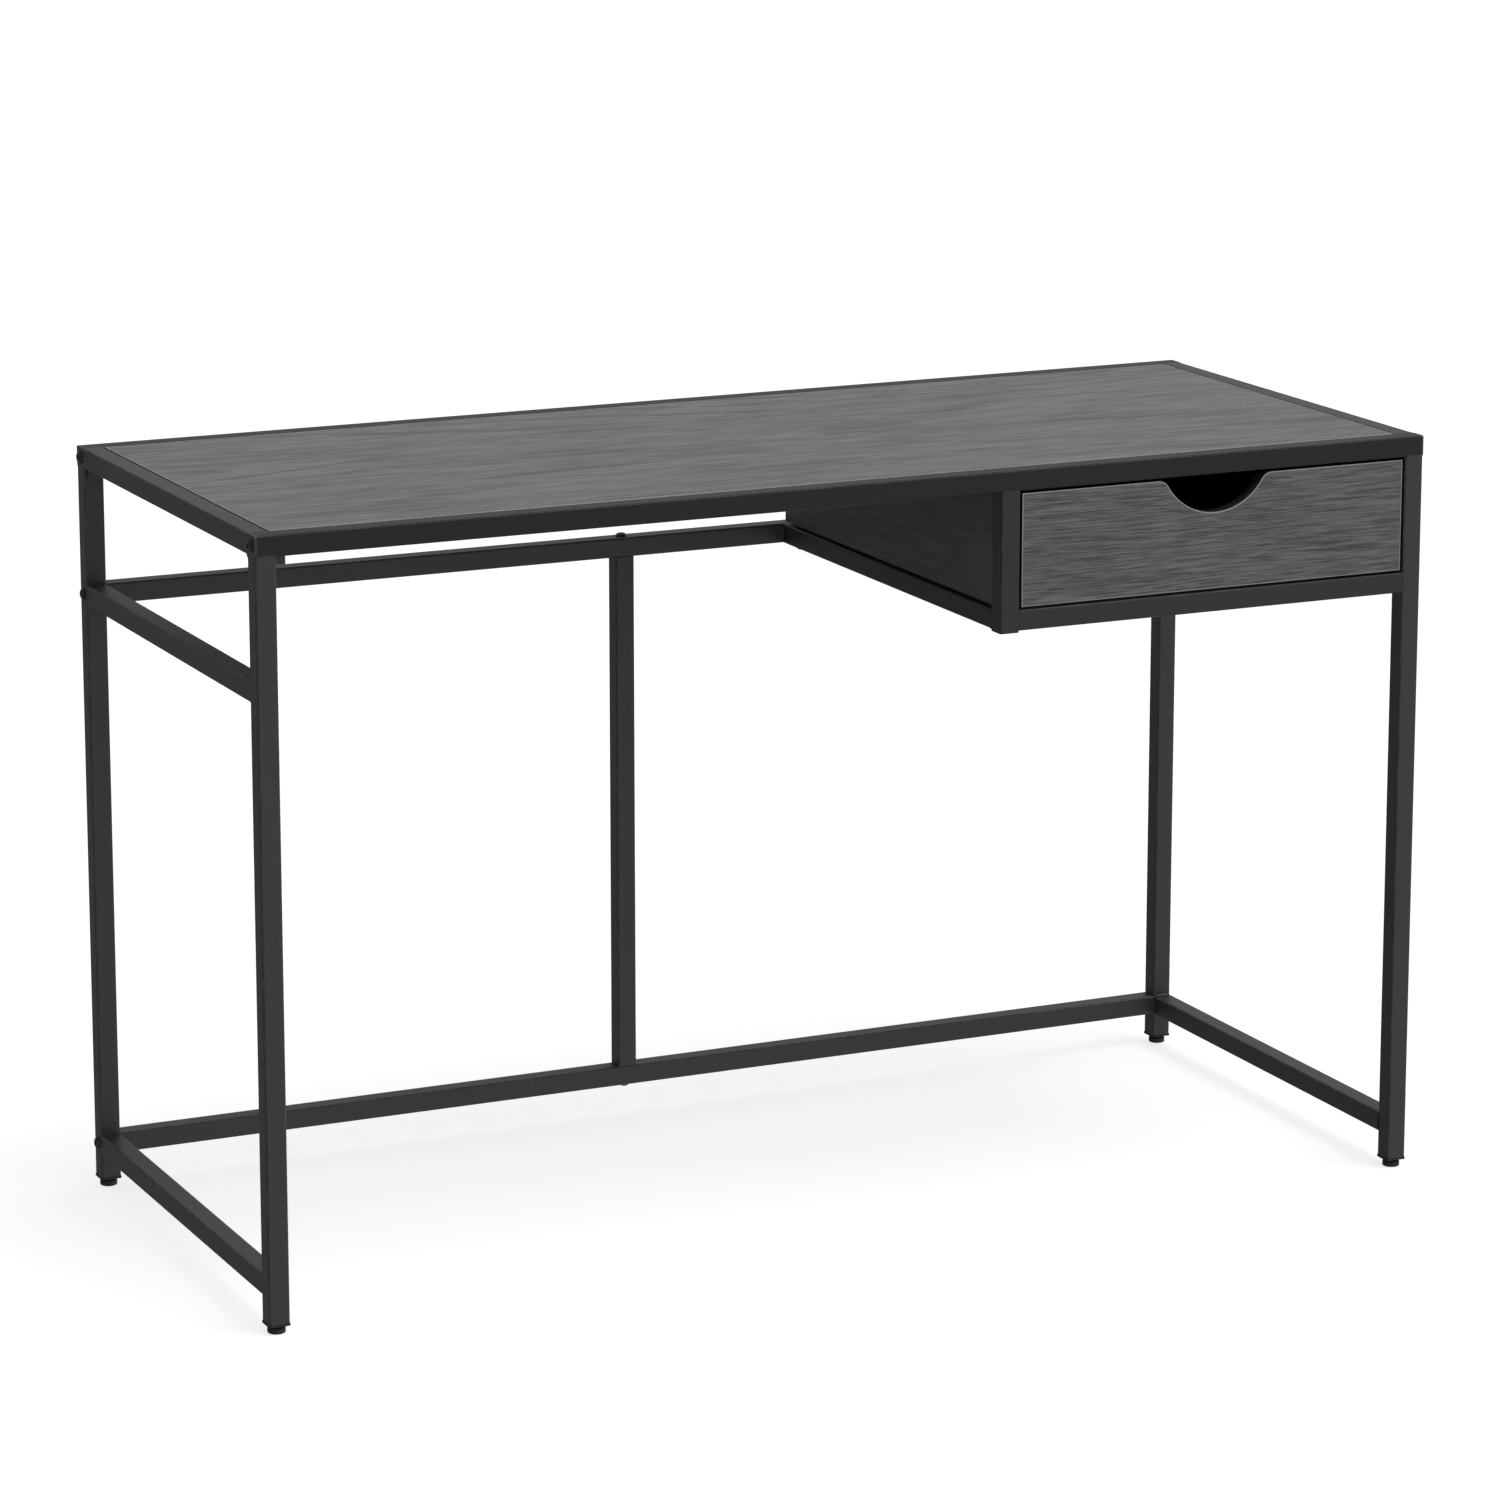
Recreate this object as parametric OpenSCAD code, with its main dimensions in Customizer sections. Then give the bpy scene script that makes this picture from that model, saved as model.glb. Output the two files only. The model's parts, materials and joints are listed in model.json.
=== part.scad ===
// Writing desk: a bolted frame of square steel tube, a board set flush in the top frame,
// and one drawer on telescopic slides in a bay at the right.
// X runs left to right, Y front to rear, Z up. The origin is on the floor, under the centre.

/* [Desk] */
// Overall width, left face to right face
desk_w = 1200; // [1100:10:1500]
// Overall depth, front face to rear face
desk_d = 500; // [480:10:650]
// Overall height, floor to top surface
desk_h = 740; // [700:5:780]
// Thickness of the board in the top frame
board_t = 15; // [12:1:18]
// Gap between the board and the tube round it
board_gap = 1.2; // [0.5:0.1:3]

/* [Tube] */
// Outside width of the square tube
tube = 20; // [18:1:25]
// Wall of the square tube
wall = 1.5; // [1:0.1:2]
// Outside radius on the tube's corners
tube_r = 2; // [1:0.1:3]

/* [Rails] */
// Underside of the bottom rails above the floor
low_z = 34; // [30:1:120]
// Underside of the middle rails and of the drawer bay above the floor
mid_z = 586; // [560:1:590]
// Middle of the centre rear leg, from the middle of the desk
centre_leg_x = -35; // [-200:5:60]

/* [Drawer bay] */
// Left face of the bay's front post, from the middle of the desk
bay_x = 140; // [60:5:180]
// Thickness of the bay's two side panels
side_panel_t = 18; // [16:1:18]
// Gap under the bay's side panels, above their rails
panel_lift = 2.5; // [1:0.5:4]

/* [Drawer] */
// Gap round the drawer front
front_gap = 2.5; // [1.5:0.5:5]
// Thickness of the drawer front
front_t = 15; // [12:1:18]
// How far the drawer front lies behind the front face of the frame
front_inset = 1; // [0:0.5:3]
// Thickness of the drawer box's sides and back
box_t = 12; // [10:1:15]
// Height of the drawer box
box_h = 88; // [70:1:92]
// Radius of the finger cut-out
cut_r = 60; // [45:1:70]
// Depth of the finger cut-out below the front's top edge
cut_depth = 34.5; // [25:0.5:40]
// Radius that eases the cut-out into the top edge
cut_ease = 12; // [4:1:15]
// Length of the drawer box and of its slides
slide_len = 400; // [300:10:400]

/* [Levelling feet] */
// Diameter of a foot's disc
foot_d = 17; // [14:1:20]
// Height of a foot's disc and shoulder
foot_h = 7; // [5:1:10]
// Diameter of a foot's threaded stem
stem_d = 8; // [6:1:8]

/* [Hidden] */

$fn = 48;
over = 1;                            // how far a cutter runs past the face that it cuts

steel_black = "#2e2e2e";
wood_grey = "#6c6c6a";
board_dark = "#303030";
box_dark = "#4a4a48";
zinc = "#a9abad";
plastic_black = "#1c1c1c";

// Frame
half_w = desk_w / 2;
half_d = desk_d / 2;
half_tube = tube / 2;
leg_x = half_w - half_tube;          // middle of a leg, across
leg_y = half_d - half_tube;          // middle of a leg, front to rear
inner_x = half_w - tube;             // inner face of the side frames
inner_y = half_d - tube;             // inner face of the front and rear tubes
top_c = desk_h - half_tube;          // middle of the top rails
mid_c = mid_z + half_tube;
low_c = low_z + half_tube;
bore = tube - 2 * wall;              // inside width of the tube
tab_t = 2;                           // plate across each end of the front and rear top rails
plug_flange_t = 2;                   // flange under a leg
post_flange_t = 1.5;                 // flange under the bay's front post
leg_z = foot_h + 1 + plug_flange_t;  // lower end of a leg's tube
end_plate_t = 3;
fit = 0.1;                           // clearance of a plate or plug inside a tube

// Fasteners
bolt_d = 6;
bolt_hole = 6.4;
bolt_head_d = 12;
bolt_head_h = 3;
bolt_len = 30;
bolt_in_panel = 14;                  // how far a bolt runs up into a bay panel
socket_d = 4.6;                      // hexagon socket, across its corners
socket_depth = 2;
screw_d = 4;
screw_hole = 4.4;
screw_head_d = 8;
screw_head_h = 2;
recess_w = 3.6;                      // cross recess, across its arms
recess_slot = 0.9;
slide_head_d = 7;                    // flat heads that stay clear of the slides' members
slide_head_h = 0.6;
pilot_play = 0.2;                    // how much wider and deeper than its screw a pilot is
cleat_screw_len = 12;
back_screw_len = 14;
bay_screw_len = 14;
drawer_screw_len = 11;
drawer_back_screw_len = 32;

// Bay
bay_c = bay_x + half_tube;           // middle of the bay's post and left rail
bay_in = bay_x + tube;               // inner face of the bay, left
bay_mid = (bay_in + inner_x) / 2;    // middle of the drawer
panel_z = mid_z + tube + panel_lift; // lower edge of the bay's side panels
panel_bolt_y = [-half_d + 30, half_d - 45];
back_panel_t = 5;
back_panel_y = inner_y - back_panel_t - 1;
back_screw_z = [panel_z + 20, panel_z + 95];
spacer_d = 13;

// Desktop
board_z = desk_h - board_t;
cleat = [24, 16, 2];
cleat_x = [-0.4 * desk_w, 0, 0.4 * desk_w];

// Slides, given from the bay's wall (0) to the drawer's side (slide_t)
slide_t = 12.7;
slide_h = 45;
sheet = 1.2;                         // steel of the outer and middle members
inner_sheet = 1.5;
outer_reach = 10;                    // how far the outer member's flanges stand off the wall
outer_lip = 3;
middle_web_x = 2.2;
middle_half = 19;                    // half the middle member's height
middle_reach = 8.4;
inner_flange_x = 5;
inner_half = 14;
slide_y = -inner_y + 2;
slide_z = mid_z + tube + 50;         // middle of the slides' height
middle_len = slide_len - 20;
slide_screw_y = [30, 170, slide_len - 50];

// Drawer
front_y = -half_d + front_inset;
box_y = front_y + front_t;           // front end of the drawer box
box_x0 = bay_in + slide_t;
box_x1 = inner_x - slide_t;
box_z = mid_z + tube + 8;
front_z0 = mid_z + tube + front_gap;
front_z1 = desk_h - tube - front_gap;
front_x0 = bay_in + front_gap;
front_x1 = inner_x - front_gap;
bottom_t = 5;
groove_z = box_z + 6;
groove = 4;
groove_play = 0.2;
cam_d = 15;
cam_t = 9.5;
cam_y = box_y + 24;                  // middle of a cam
cam_z = [box_z + 22, box_z + box_h - 16];
cam_bolt_in = 9;                     // how deep a cam's bolt goes into the front
cam_bolt_d = 6;
back_y = box_y + slide_len - box_t;  // front face of the drawer's back
back_screws_z = [box_z + 18, box_z + box_h - 12];

// Feet
plug_len = 14;                       // length of a plug inside its tube
stem_top = 35;

// ---------- shapes ----------

// Square with rounded corners, centred
module rounded_square(w, r) {
    square([w, w - 2 * r], center = true);
    square([w - 2 * r, w], center = true);
    for (x = [-1, 1], y = [-1, 1])
        translate([x * (w / 2 - r), y * (w / 2 - r)]) circle(r);
}

// Square tube of length len, standing on the XY plane
module square_tube(len) {
    linear_extrude(len)
        difference() {
            rounded_square(tube, tube_r);
            rounded_square(bore, max(tube_r - wall, 0.3));
        }
}

module tube_x(x0, x1, y, z) {
    translate([x0, y, z]) rotate([0, 90, 0]) square_tube(x1 - x0);
}

module tube_y(y0, y1, x, z) {
    translate([x, y0, z]) rotate([-90, 0, 0]) square_tube(y1 - y0);
}

module tube_z(z0, z1, x, y) {
    translate([x, y, z0]) square_tube(z1 - z0);
}

// Round holes right through a tube, along X, Y or Z
module hole_x(x, y, z, d) {
    translate([x, y, z]) rotate([0, 90, 0]) cylinder(h = tube + 2 * over, d = d, center = true);
}

module hole_z(x, y, z, d) {
    translate([x, y, z]) cylinder(h = tube + 2 * over, d = d, center = true);
}

// Button-head bolt: its head stands on the XY plane and its shank points down
module button_bolt(len) {
    r = bolt_head_d / 2;
    difference() {
        rotate_extrude()
            polygon([
                [0, -len], [bolt_d / 2 - 0.5, -len], [bolt_d / 2, -len + 0.8], [bolt_d / 2, 0],
                [r, 0], [r, 0.8], [r - 0.9, 2], [r - 2.4, bolt_head_h], [0, bolt_head_h]
            ]);
        translate([0, 0, bolt_head_h - socket_depth])
            cylinder(h = socket_depth + over, d = socket_d, $fn = 6);
    }
}

// Wood screw with a cross recess: its head stands on the XY plane and its point is down
module wood_screw(len, head_d = screw_head_d, head_h = screw_head_h) {
    difference() {
        rotate_extrude()
            polygon([
                [0, -len], [screw_d / 2, -len + 3], [screw_d / 2, 0], [head_d / 2, 0],
                [head_d / 2, head_h * 0.6], [head_d / 2 - head_h * 0.4, head_h], [0, head_h]
            ]);
        for (turn = [0, 90])
            rotate([0, 0, turn])
                translate([-recess_w / 2, -recess_slot / 2, head_h * 0.3])
                    cube([recess_w, recess_slot, head_h]);
    }
}

// Hole for the part of a screw that runs len deep, downwards from the XY plane
module pilot(len) {
    deep = len + pilot_play;
    translate([0, 0, -deep]) cylinder(h = deep, d = screw_d + pilot_play);
}

// ---------- side frames ----------

// Leg with cross holes for the bolts at the heights in bolt_z
module leg(x, y, bolt_z) {
    color(steel_black)
        difference() {
            tube_z(leg_z, desk_h - tube, x, y);
            for (z = bolt_z) hole_x(x, y, z, bolt_hole);
        }
}

module left_front_leg() {
    leg(-leg_x, -leg_y, []);
}

module left_rear_leg() {
    leg(-leg_x, leg_y, [mid_c, low_c]);
}

module right_front_leg() {
    leg(leg_x, -leg_y, [mid_c]);
}

module right_rear_leg() {
    leg(leg_x, leg_y, [mid_c, low_c]);
}

module left_top_rail() {
    color(steel_black) tube_y(-inner_y, inner_y, -leg_x, top_c);
}

module left_mid_rail() {
    color(steel_black) tube_y(-inner_y, inner_y, -leg_x, mid_c);
}

module left_bottom_rail() {
    color(steel_black) tube_y(-inner_y, inner_y, -leg_x, low_c);
}

module right_top_rail() {
    color(steel_black) tube_y(-inner_y, inner_y, leg_x, top_c);
}

module right_mid_rail() {
    color(steel_black)
        difference() {
            tube_y(-inner_y, inner_y, leg_x, mid_c);
            for (y = panel_bolt_y) hole_z(leg_x, y, mid_c, bolt_hole);
        }
}

module right_bottom_rail() {
    color(steel_black) tube_y(-inner_y, inner_y, leg_x, low_c);
}

// Tabs that stand on the outer side of each leg and close the ends of the front and rear top rails
module rail_corner_tabs() {
    color(steel_black)
        for (side = [-1, 1], y = [-leg_y, leg_y])
            translate([side * half_w, y, top_c]) rotate([0, -side * 90, 0])
                linear_extrude(tab_t)
                    difference() {
                        rounded_square(tube, tube_r);
                        circle(d = bolt_hole);
                    }
}

// Small triangles welded in the corners between the left top rail and the legs.
// The right frame has none, as the bay's panel fills it there.
module corner_gussets() {
    size = 12;
    plate = 3;
    color(steel_black)
        for (side = [-1, 1])
            translate([-half_w + plate, side * inner_y, desk_h - tube])
                mirror([0, (side + 1) / 2, 0])
                    rotate([90, 0, 90]) linear_extrude(plate) polygon([[0, 0], [size, 0], [0, -size]]);
}

// ---------- cross rails ----------

// The front and rear top rails lie on the legs and run the whole width between the corner tabs
module front_top_rail() {
    color(steel_black) tube_x(-half_w + tab_t, half_w - tab_t, -leg_y, top_c);
}

module rear_top_rail() {
    color(steel_black) tube_x(-half_w + tab_t, half_w - tab_t, leg_y, top_c);
}

module rear_mid_rail() {
    color(steel_black)
        difference() {
            tube_x(-inner_x, inner_x, leg_y, mid_c);
            hole_z(centre_leg_x, leg_y, mid_c, bolt_hole);
        }
}

module rear_bottom_rail() {
    color(steel_black)
        difference() {
            tube_x(-inner_x, inner_x, leg_y, low_c);
            hole_z(centre_leg_x, leg_y, low_c, bolt_hole);
        }
}

module rear_centre_leg() {
    color(steel_black) tube_z(low_z + tube, mid_z, centre_leg_x, leg_y);
}

// Threaded plate just inside the end of a tube, facing along +Z
module end_plate() {
    linear_extrude(end_plate_t)
        difference() {
            rounded_square(bore - 2 * fit, 0.5);
            circle(d = bolt_d + 0.2);
        }
}

// End plate whose outer face is at x
module end_plate_x(x, y, z) {
    translate([x, y, z]) rotate([0, -sign(x) * 90, 0]) end_plate();
}

// Threaded plates welded inside the bolted ends of the cross rails and the centre leg
module rail_end_plates() {
    color(steel_black) {
        for (side = [-1, 1]) {
            for (y = [-leg_y, leg_y]) end_plate_x(side * (half_w - tab_t), y, top_c);
            for (z = [mid_c, low_c]) end_plate_x(side * inner_x, leg_y, z);
        }
        end_plate_x(inner_x, -leg_y, mid_c);
        for (z = [low_z + tube, mid_z - end_plate_t])
            translate([centre_leg_x, leg_y, z]) end_plate();
    }
}

// Flat tab welded in the corner between the left front leg and the front rail
module front_corner_tab() {
    size = [12, 3, 9];
    color(steel_black)
        translate([-inner_x, -leg_y, desk_h - tube - size[2]]) cube(size);
}

// ---------- drawer bay frame ----------

module bay_front_post() {
    color(steel_black) tube_z(mid_z, desk_h - tube, bay_c, -leg_y);
}

module bay_front_rail() {
    color(steel_black) tube_x(bay_in, inner_x, -leg_y, mid_c);
}

module bay_left_rail() {
    color(steel_black)
        difference() {
            tube_y(-inner_y, inner_y, bay_c, mid_c);
            for (y = panel_bolt_y) hole_z(bay_c, y, mid_c, bolt_hole);
        }
}

// ---------- desktop ----------

// Places its children at each cleat, with +Y pointing in from the rail
module at_cleats() {
    for (x = cleat_x) {
        translate([x, -inner_y, board_z]) children();
        translate([x, inner_y, board_z]) rotate([0, 0, 180]) children();
    }
    for (side = [-1, 1])
        translate([side * inner_x, 0, board_z]) rotate([0, 0, side * 90]) children();
}

// Tabs welded inside the top frame, under the board
module desktop_cleats() {
    color(steel_black)
        at_cleats()
            difference() {
                translate([-cleat[0] / 2, 0, -cleat[2]]) cube(cleat);
                translate([0, cleat[1] / 2, -cleat[2] - over])
                    cylinder(h = cleat[2] + 2 * over, d = screw_hole);
            }
}

module desktop_screws() {
    color(zinc)
        at_cleats()
            translate([0, cleat[1] / 2, -cleat[2]]) mirror([0, 0, 1]) wood_screw(cleat_screw_len);
}

module desktop_panel() {
    w = 2 * (inner_x - board_gap);
    d = 2 * (inner_y - board_gap);
    color(wood_grey)
        difference() {
            translate([-w / 2, -d / 2, board_z]) cube([w, d, board_t]);
            at_cleats()
                translate([0, cleat[1] / 2, 0]) mirror([0, 0, 1]) pilot(cleat_screw_len - cleat[2]);
        }
}

// ---------- panels of the drawer bay ----------

// Side panel from y0 to y1 with its inner face at x = 0, the board lying towards -X,
// and pilots for the bolts below and the slide's screws
module bay_side_panel(height) {
    y0 = -inner_y + 0.5;
    difference() {
        translate([-side_panel_t, y0, panel_z])
            cube([side_panel_t, back_panel_y - y0, height]);
        for (y = panel_bolt_y)
            translate([-half_tube, y, panel_z - over])
                cylinder(h = bolt_in_panel + 2 + over, d = bolt_d + pilot_play);
        for (y = slide_screw_y)
            translate([0, slide_y + y, slide_z]) rotate([0, 90, 0]) pilot(bay_screw_len - sheet);
        for (z = back_screw_z)
            translate([-half_tube, back_panel_y, z]) rotate([-90, 0, 0])
                pilot(back_screw_len - back_panel_t + screw_head_h);
    }
}

module bay_left_panel() {
    color(board_dark)
        translate([bay_in, 0, 0]) bay_side_panel(board_z - panel_z);
}

module bay_right_panel() {
    color(board_dark)
        translate([inner_x, 0, 0]) mirror([1, 0, 0])
            bay_side_panel(desk_h - tube - 0.5 - panel_z);
}

// Screws and their holes share these places
module at_back_screws() {
    for (x = [bay_in - half_tube, inner_x + half_tube], z = back_screw_z)
        translate([x, back_panel_y + back_panel_t - screw_head_h, z]) rotate([-90, 0, 0]) children();
}

module bay_back_panel() {
    edge = side_panel_t - 0.5;
    color(board_dark)
        difference() {
            translate([bay_in - edge, back_panel_y, panel_z])
                cube([inner_x - bay_in + 2 * edge, back_panel_t, desk_h - tube - 0.5 - panel_z]);
            at_back_screws() {
                cylinder(h = screw_head_h + over, d = screw_head_d + 0.4);
                translate([0, 0, -back_panel_t]) cylinder(h = 2 * back_panel_t, d = screw_hole);
            }
        }
}

module bay_back_screws() {
    color(zinc) at_back_screws() wood_screw(back_screw_len);
}

// ---------- drawer slides ----------

// The cross-sections lie in X (from the bay's wall) and Y (height) and are mirrored top to bottom.
module both_halves() {
    for (flip = [0, 1]) mirror([0, flip]) children();
}

module outer_section() {
    half = slide_h / 2;
    both_halves() {
        square([sheet, half]);
        translate([0, half - sheet]) square([outer_reach, sheet]);
        translate([outer_reach - sheet, half - outer_lip]) square([sheet, outer_lip]);
    }
}

// The two strips of each half stand for the ball cages outside and inside the flange
module middle_section() {
    both_halves() {
        translate([middle_web_x, 0]) square([sheet, middle_half]);
        translate([middle_web_x, middle_half - sheet]) square([middle_reach, sheet]);
        translate([middle_web_x + sheet, middle_half]) square([4.6, 2]);
        translate([inner_flange_x + 0.6, inner_half + 0.4]) square([4, 3.5]);
    }
}

module inner_section() {
    both_halves() {
        translate([slide_t - inner_sheet, 0]) square([inner_sheet, inner_half]);
        translate([inner_flange_x, inner_half - sheet]) square([slide_t - inner_flange_x, sheet]);
    }
}

// A member from its section, with the wall at x = 0 and the drawer towards +X
module member(len) {
    translate([0, slide_y, slide_z]) rotate([90, 0, 0]) mirror([0, 0, 1])
        linear_extrude(len) children();
}

// Places its children on the left or the right wall of the bay
module on_left() {
    translate([bay_in, 0, 0]) children();
}

module on_right() {
    translate([inner_x, 0, 0]) mirror([1, 0, 0]) children();
}

module slide_outer() {
    color(zinc)
        difference() {
            member(slide_len) outer_section();
            at_bay_screws() translate([0, 0, -2]) cylinder(h = 4, d = screw_hole);
        }
}

module slide_middle() {
    color(zinc) member(middle_len) middle_section();
}

module slide_inner() {
    color(zinc)
        difference() {
            member(slide_len - 4) inner_section();
            at_drawer_screws() translate([0, 0, -3]) cylinder(h = 5, d = screw_hole);
        }
}

// Screw places with the head's seat at z = 0 and the head towards +Z
module at_bay_screws() {
    for (y = slide_screw_y)
        translate([sheet, slide_y + y, slide_z]) rotate([0, 90, 0]) children();
}

module at_drawer_screws() {
    for (y = slide_screw_y)
        translate([slide_t - inner_sheet, slide_y + y, slide_z]) rotate([0, -90, 0]) children();
}

module left_slide_outer() {
    on_left() slide_outer();
}

module left_slide_middle() {
    on_left() slide_middle();
}

module left_slide_inner() {
    on_left() slide_inner();
}

module right_slide_outer() {
    on_right() slide_outer();
}

module right_slide_middle() {
    on_right() slide_middle();
}

module right_slide_inner() {
    on_right() slide_inner();
}

module slide_bay_screws() {
    color(zinc) {
        on_left() at_bay_screws() wood_screw(bay_screw_len, slide_head_d, slide_head_h);
        on_right() at_bay_screws() wood_screw(bay_screw_len, slide_head_d, slide_head_h);
    }
}

module slide_drawer_screws() {
    color(zinc) {
        on_left() at_drawer_screws() wood_screw(drawer_screw_len, slide_head_d, slide_head_h);
        on_right() at_drawer_screws() wood_screw(drawer_screw_len, slide_head_d, slide_head_h);
    }
}

// ---------- drawer ----------

// Finger cut-out in the plane of the front, with the front's top edge at y = 0.
// Its big arc runs into the top edge through two easing arcs.
module cut_outline() {
    up = cut_r - cut_depth;          // the big arc's middle above the top edge
    ease_x = sqrt(pow(cut_r + cut_ease, 2) - pow(up + cut_ease, 2));
    touch = cut_r / (cut_r + cut_ease);
    touch_x = ease_x * touch;
    touch_y = up - (up + cut_ease) * touch;
    intersection() {
        translate([0, up]) circle(cut_r, $fn = 96);
        translate([-cut_r, -cut_depth - over]) square([2 * cut_r, cut_depth + 2 * over]);
    }
    difference() {
        polygon([
            [-ease_x, over], [-ease_x, 0], [-touch_x, touch_y],
            [touch_x, touch_y], [ease_x, 0], [ease_x, over]
        ]);
        for (side = [-1, 1])
            translate([side * ease_x, -cut_ease]) circle(cut_ease);
    }
}

// Places its children at each cam, on the inner face of its side, with +Z into the drawer
module at_cams() {
    for (z = cam_z) {
        translate([box_x0 + box_t, cam_y, z]) rotate([0, 90, 0]) children();
        translate([box_x1 - box_t, cam_y, z]) rotate([0, -90, 0]) children();
    }
}

// Places its children on each cam bolt's axis at the box's front end, with +Z to the rear
module at_cam_bolts() {
    for (x = [box_x0 + box_t / 2, box_x1 - box_t / 2], z = cam_z)
        translate([x, box_y, z]) rotate([-90, 0, 0]) children();
}

// Places its children on the drawer's outer faces at the back, with +Z outwards
module at_drawer_back_screws() {
    for (z = back_screws_z) {
        translate([box_x0 + screw_head_h, back_y + box_t / 2, z]) rotate([0, -90, 0]) children();
        translate([box_x1 - screw_head_h, back_y + box_t / 2, z]) rotate([0, 90, 0]) children();
    }
}

module drawer_front() {
    color(wood_grey)
        difference() {
            translate([front_x0, front_y, front_z0])
                cube([front_x1 - front_x0, front_t, front_z1 - front_z0]);
            translate([bay_mid, front_y - over, front_z1]) rotate([90, 0, 0]) mirror([0, 0, 1])
                linear_extrude(front_t + 2 * over) cut_outline();
            translate([box_x0 + box_t - groove - groove_play, box_y - groove - groove_play, groove_z])
                cube([
                    box_x1 - box_x0 - 2 * (box_t - groove - groove_play),
                    groove + groove_play + over,
                    bottom_t + groove_play
                ]);
            at_cam_bolts()
                translate([0, 0, -cam_bolt_in - pilot_play])
                    cylinder(h = cam_bolt_in + over, d = cam_bolt_d + pilot_play);
        }
}

module drawer_side(x) {
    color(box_dark)
        difference() {
            translate([x, box_y, box_z]) cube([box_t, slide_len, box_h]);
            translate([box_x0 + box_t - groove - groove_play, box_y - over, groove_z])
                cube([
                    box_x1 - box_x0 - 2 * (box_t - groove - groove_play),
                    slide_len + 2 * over,
                    bottom_t + groove_play
                ]);
            at_cams() translate([0, 0, -cam_t]) cylinder(h = cam_t + over, d = cam_d + 0.3);
            at_cam_bolts()
                translate([0, 0, -over]) cylinder(h = cam_y - box_y, d = cam_bolt_d + 3 * pilot_play);
            at_drawer_back_screws() {
                cylinder(h = screw_head_h + over, d = screw_head_d + 0.4);
                translate([0, 0, -box_t]) cylinder(h = box_t + over, d = screw_hole);
            }
            for (y = slide_screw_y) {
                translate([box_x0, slide_y + y, slide_z]) rotate([0, -90, 0])
                    pilot(drawer_screw_len - inner_sheet);
                translate([box_x1, slide_y + y, slide_z]) rotate([0, 90, 0])
                    pilot(drawer_screw_len - inner_sheet);
            }
        }
}

module drawer_left_side() {
    drawer_side(box_x0);
}

module drawer_right_side() {
    drawer_side(box_x1 - box_t);
}

module drawer_back() {
    z0 = groove_z + bottom_t + groove_play;
    color(box_dark)
        difference() {
            translate([box_x0 + box_t, back_y, z0])
                cube([box_x1 - box_x0 - 2 * box_t, box_t, box_z + box_h - z0]);
            at_drawer_back_screws() pilot(drawer_back_screw_len);
        }
}

module drawer_bottom() {
    color(box_dark)
        translate([box_x0 + box_t - groove, box_y - groove, groove_z])
            cube([
                box_x1 - box_x0 - 2 * (box_t - groove),
                slide_len + groove,
                bottom_t
            ]);
}

// Cams that draw the sides up to the front, each with a slot for its bolt
module drawer_cams() {
    color(zinc)
        difference() {
            at_cams()
                difference() {
                    translate([0, 0, -cam_t]) cylinder(h = cam_t, d = cam_d);
                    translate([-4, -0.8, -1.5]) cube([8, 1.6, 1.5 + over]);
                    translate([-0.8, -4, -1.5]) cube([1.6, 8, 1.5 + over]);
                }
            at_cam_bolts() cylinder(h = cam_y - box_y + 4, d = 7);
        }
}

module drawer_cam_bolts() {
    color(zinc)
        at_cam_bolts()
            translate([0, 0, -cam_bolt_in]) cylinder(h = cam_y - box_y + cam_bolt_in, d = cam_bolt_d);
}

module drawer_back_screws() {
    color(zinc) at_drawer_back_screws() wood_screw(drawer_back_screw_len);
}

// ---------- bolts ----------

// Bolts through the corner tabs and the legs into the ends of the cross rails
module frame_bolts() {
    color(plastic_black)
        for (side = [-1, 1]) {
            for (z = [top_c, mid_c, low_c]) frame_bolt(side, leg_y, z);
            frame_bolt(side, -leg_y, top_c);
            if (side > 0) frame_bolt(side, -leg_y, mid_c);
        }
}

module frame_bolt(side, y, z) {
    translate([side * half_w, y, z]) rotate([0, side * 90, 0]) button_bolt(bolt_len);
}

// Bolts through the rear rails into the ends of the centre leg
module centre_leg_bolts() {
    color(plastic_black) {
        translate([centre_leg_x, leg_y, mid_z + tube]) button_bolt(bolt_len);
        translate([centre_leg_x, leg_y, low_z]) rotate([180, 0, 0]) button_bolt(bolt_len);
    }
}

// Bolts up through the bay's rails into the lower edges of its side panels
module bay_panel_bolts() {
    color(plastic_black)
        for (x = [bay_c, leg_x], y = panel_bolt_y)
            translate([x, y, mid_z]) rotate([180, 0, 0]) button_bolt(tube + panel_lift + bolt_in_panel);
}

// Washers that hold the side panels clear of the rails
module bay_panel_spacers() {
    color(plastic_black)
        for (x = [bay_c, leg_x], y = panel_bolt_y)
            translate([x, y, mid_z + tube])
                difference() {
                    cylinder(h = panel_lift, d = spacer_d);
                    translate([0, 0, -over]) cylinder(h = panel_lift + 2 * over, d = bolt_hole);
                }
}

// ---------- plugs and feet ----------

// Plug for a tube's lower end: a flange below the XY plane and a block above it, inside the tube
module plug(flange_w, flange_t) {
    translate([0, 0, -flange_t])
        linear_extrude(flange_t) rounded_square(flange_w, tube_r);
    linear_extrude(plug_len) rounded_square(bore - 2 * fit, 0.5);
}

module bay_post_plug() {
    color(plastic_black)
        translate([bay_c, -leg_y, mid_z]) plug(tube, post_flange_t);
}

// Plugs in the lower ends of the legs, with a flange a little wider than the tube
module leg_end_plugs() {
    color(plastic_black)
        for (x = [-leg_x, leg_x], y = [-leg_y, leg_y])
            translate([x, y, leg_z])
                difference() {
                    plug(tube + 1, plug_flange_t);
                    translate([0, 0, -plug_flange_t - over])
                        cylinder(h = plug_len + plug_flange_t + 2 * over, d = stem_d + 2 * fit);
                }
}

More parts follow.
